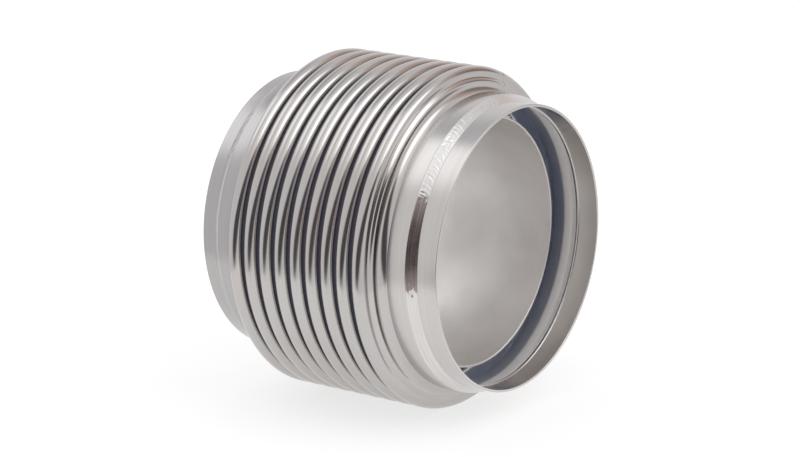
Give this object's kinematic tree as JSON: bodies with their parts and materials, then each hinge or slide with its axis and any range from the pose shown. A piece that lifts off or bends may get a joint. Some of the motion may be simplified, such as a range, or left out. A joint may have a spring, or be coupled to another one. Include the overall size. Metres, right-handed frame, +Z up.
{
  "type": "metal bellows expansion joint",
  "caption": "Round two-ply metal bellows expansion joint with stepped pipe collars, seam-welded necks and a flow liner.",
  "frame": {"origin": "on the pipe axis, half-way between the two collar rims", "axes": "+X along the pipe axis from the inlet to the outlet, +Z up as the object lies on its side, +Y to the left when looking along +X"},
  "size_m": [0.1294, 0.157, 0.157],
  "materials": {
    "outer_ply": "polished stainless steel sheet, hydroformed",
    "inner_ply": "mill-finish stainless steel sheet",
    "collar": "polished stainless steel tube",
    "weld": "seam-weld ripple, bright with a slight tint",
    "liner": "satin rolled stainless steel sheet"
  },
  "bodies": {
    "inlet_end": {"inlet_collar": "collar", "inlet_seam_weld": "weld", "inlet_edge_weld": "weld", "flow_liner": "liner", "outer_ply_inlet_neck": "outer_ply", "inner_ply_inlet_neck": "inner_ply"},
    "crest_1": {"outer_ply_crest_1": "outer_ply", "inner_ply_crest_1": "inner_ply"},
    "root_1": {"outer_ply_root_1": "outer_ply", "inner_ply_root_1": "inner_ply"},
    "crest_2": {"outer_ply_crest_2": "outer_ply", "inner_ply_crest_2": "inner_ply"},
    "root_2": {"outer_ply_root_2": "outer_ply", "inner_ply_root_2": "inner_ply"},
    "crest_3": {"outer_ply_crest_3": "outer_ply", "inner_ply_crest_3": "inner_ply"},
    "root_3": {"outer_ply_root_3": "outer_ply", "inner_ply_root_3": "inner_ply"},
    "crest_4": {"outer_ply_crest_4": "outer_ply", "inner_ply_crest_4": "inner_ply"},
    "root_4": {"outer_ply_root_4": "outer_ply", "inner_ply_root_4": "inner_ply"},
    "crest_5": {"outer_ply_crest_5": "outer_ply", "inner_ply_crest_5": "inner_ply"},
    "root_5": {"outer_ply_root_5": "outer_ply", "inner_ply_root_5": "inner_ply"},
    "crest_6": {"outer_ply_crest_6": "outer_ply", "inner_ply_crest_6": "inner_ply"},
    "root_6": {"outer_ply_root_6": "outer_ply", "inner_ply_root_6": "inner_ply"},
    "crest_7": {"outer_ply_crest_7": "outer_ply", "inner_ply_crest_7": "inner_ply"},
    "root_7": {"outer_ply_root_7": "outer_ply", "inner_ply_root_7": "inner_ply"},
    "crest_8": {"outer_ply_crest_8": "outer_ply", "inner_ply_crest_8": "inner_ply"},
    "root_8": {"outer_ply_root_8": "outer_ply", "inner_ply_root_8": "inner_ply"},
    "crest_9": {"outer_ply_crest_9": "outer_ply", "inner_ply_crest_9": "inner_ply"},
    "outlet_end": {"outlet_collar": "collar", "outlet_seam_weld": "weld", "outlet_edge_weld": "weld", "outer_ply_outlet_neck": "outer_ply", "inner_ply_outlet_neck": "inner_ply"}
  },
  "joints": [
    {"name": "axial_1", "type": "slide", "parent": "inlet_end", "child": "crest_1", "axis": [1, 0, 0], "range_m": [-0.001, 0.001], "stiffness_N_per_m": 100000, "deforming": ["outer_ply_crest_1", "inner_ply_crest_1", "outer_ply_inlet_neck", "inner_ply_inlet_neck"]},
    {"name": "tilt_y_1", "type": "hinge", "parent": "crest_1", "child": "root_1", "pos_m": [-0.03429, 0, 0], "axis": [0, 1, 0], "range_deg": [-0.5, 0.5], "stiffness_Nm_per_rad": 250, "deforming": ["outer_ply_root_1", "inner_ply_root_1"]},
    {"name": "tilt_z_1", "type": "hinge", "parent": "root_1", "child": "crest_2", "pos_m": [-0.03155, 0, 0], "axis": [0, 0, 1], "range_deg": [-0.5, 0.5], "stiffness_Nm_per_rad": 250, "deforming": ["outer_ply_crest_2", "inner_ply_crest_2"]},
    {"name": "axial_2", "type": "slide", "parent": "crest_2", "child": "root_2", "axis": [1, 0, 0], "range_m": [-0.001, 0.001], "stiffness_N_per_m": 100000, "deforming": ["outer_ply_root_2", "inner_ply_root_2"]},
    {"name": "tilt_y_2", "type": "hinge", "parent": "root_2", "child": "crest_3", "pos_m": [-0.02301, 0, 0], "axis": [0, 1, 0], "range_deg": [-0.5, 0.5], "stiffness_Nm_per_rad": 250, "deforming": ["outer_ply_crest_3", "inner_ply_crest_3"]},
    {"name": "tilt_z_2", "type": "hinge", "parent": "crest_3", "child": "root_3", "pos_m": [-0.01719, 0, 0], "axis": [0, 0, 1], "range_deg": [-0.5, 0.5], "stiffness_Nm_per_rad": 250, "deforming": ["outer_ply_root_3", "inner_ply_root_3"]},
    {"name": "axial_3", "type": "slide", "parent": "root_3", "child": "crest_4", "axis": [1, 0, 0], "range_m": [-0.001, 0.001], "stiffness_N_per_m": 100000, "deforming": ["outer_ply_crest_4", "inner_ply_crest_4"]},
    {"name": "tilt_y_3", "type": "hinge", "parent": "crest_4", "child": "root_4", "pos_m": [-0.00864, 0, 0], "axis": [0, 1, 0], "range_deg": [-0.5, 0.5], "stiffness_Nm_per_rad": 250, "deforming": ["outer_ply_root_4", "inner_ply_root_4"]},
    {"name": "tilt_z_3", "type": "hinge", "parent": "root_4", "child": "crest_5", "pos_m": [-0.0059, 0, 0], "axis": [0, 0, 1], "range_deg": [-0.5, 0.5], "stiffness_Nm_per_rad": 250, "deforming": ["outer_ply_crest_5", "inner_ply_crest_5"]},
    {"name": "axial_4", "type": "slide", "parent": "crest_5", "child": "root_5", "axis": [1, 0, 0], "range_m": [-0.001, 0.001], "stiffness_N_per_m": 100000, "deforming": ["outer_ply_root_5", "inner_ply_root_5"]},
    {"name": "tilt_y_4", "type": "hinge", "parent": "root_5", "child": "crest_6", "pos_m": [0.00265, 0, 0], "axis": [0, 1, 0], "range_deg": [-0.5, 0.5], "stiffness_Nm_per_rad": 250, "deforming": ["outer_ply_crest_6", "inner_ply_crest_6"]},
    {"name": "tilt_z_4", "type": "hinge", "parent": "crest_6", "child": "root_6", "pos_m": [0.00846, 0, 0], "axis": [0, 0, 1], "range_deg": [-0.5, 0.5], "stiffness_Nm_per_rad": 250, "deforming": ["outer_ply_root_6", "inner_ply_root_6"]},
    {"name": "axial_5", "type": "slide", "parent": "root_6", "child": "crest_7", "axis": [1, 0, 0], "range_m": [-0.001, 0.001], "stiffness_N_per_m": 100000, "deforming": ["outer_ply_crest_7", "inner_ply_crest_7"]},
    {"name": "tilt_y_5", "type": "hinge", "parent": "crest_7", "child": "root_7", "pos_m": [0.017, 0, 0], "axis": [0, 1, 0], "range_deg": [-0.5, 0.5], "stiffness_Nm_per_rad": 250, "deforming": ["outer_ply_root_7", "inner_ply_root_7"]},
    {"name": "tilt_z_5", "type": "hinge", "parent": "root_7", "child": "crest_8", "pos_m": [0.01974, 0, 0], "axis": [0, 0, 1], "range_deg": [-0.5, 0.5], "stiffness_Nm_per_rad": 250, "deforming": ["outer_ply_crest_8", "inner_ply_crest_8"]},
    {"name": "axial_6", "type": "slide", "parent": "crest_8", "child": "root_8", "axis": [1, 0, 0], "range_m": [-0.001, 0.001], "stiffness_N_per_m": 100000, "deforming": ["outer_ply_root_8", "inner_ply_root_8"]},
    {"name": "tilt_y_6", "type": "hinge", "parent": "root_8", "child": "crest_9", "pos_m": [0.0283, 0, 0], "axis": [0, 1, 0], "range_deg": [-0.5, 0.5], "stiffness_Nm_per_rad": 250, "deforming": ["outer_ply_crest_9", "inner_ply_crest_9"]},
    {"name": "tilt_z_6", "type": "hinge", "parent": "crest_9", "child": "outlet_end", "pos_m": [0.03538, 0, 0], "axis": [0, 0, 1], "range_deg": [-0.5, 0.5], "stiffness_Nm_per_rad": 250, "deforming": ["outer_ply_outlet_neck", "inner_ply_outlet_neck"]}
  ],
  "couplings": [
    {"joint": "axial_2", "follows": "axial_1", "ratio": 1},
    {"joint": "tilt_y_2", "follows": "tilt_y_1", "ratio": 1},
    {"joint": "tilt_z_2", "follows": "tilt_z_1", "ratio": 1},
    {"joint": "axial_3", "follows": "axial_1", "ratio": 1},
    {"joint": "tilt_y_3", "follows": "tilt_y_1", "ratio": 1},
    {"joint": "tilt_z_3", "follows": "tilt_z_1", "ratio": 1},
    {"joint": "axial_4", "follows": "axial_1", "ratio": 1},
    {"joint": "axial_5", "follows": "axial_1", "ratio": 1},
    {"joint": "tilt_y_5", "follows": "tilt_y_4", "ratio": 1},
    {"joint": "tilt_z_5", "follows": "tilt_z_4", "ratio": 1},
    {"joint": "axial_6", "follows": "axial_1", "ratio": 1},
    {"joint": "tilt_y_6", "follows": "tilt_y_4", "ratio": 1},
    {"joint": "tilt_z_6", "follows": "tilt_z_4", "ratio": 1}
  ]
}
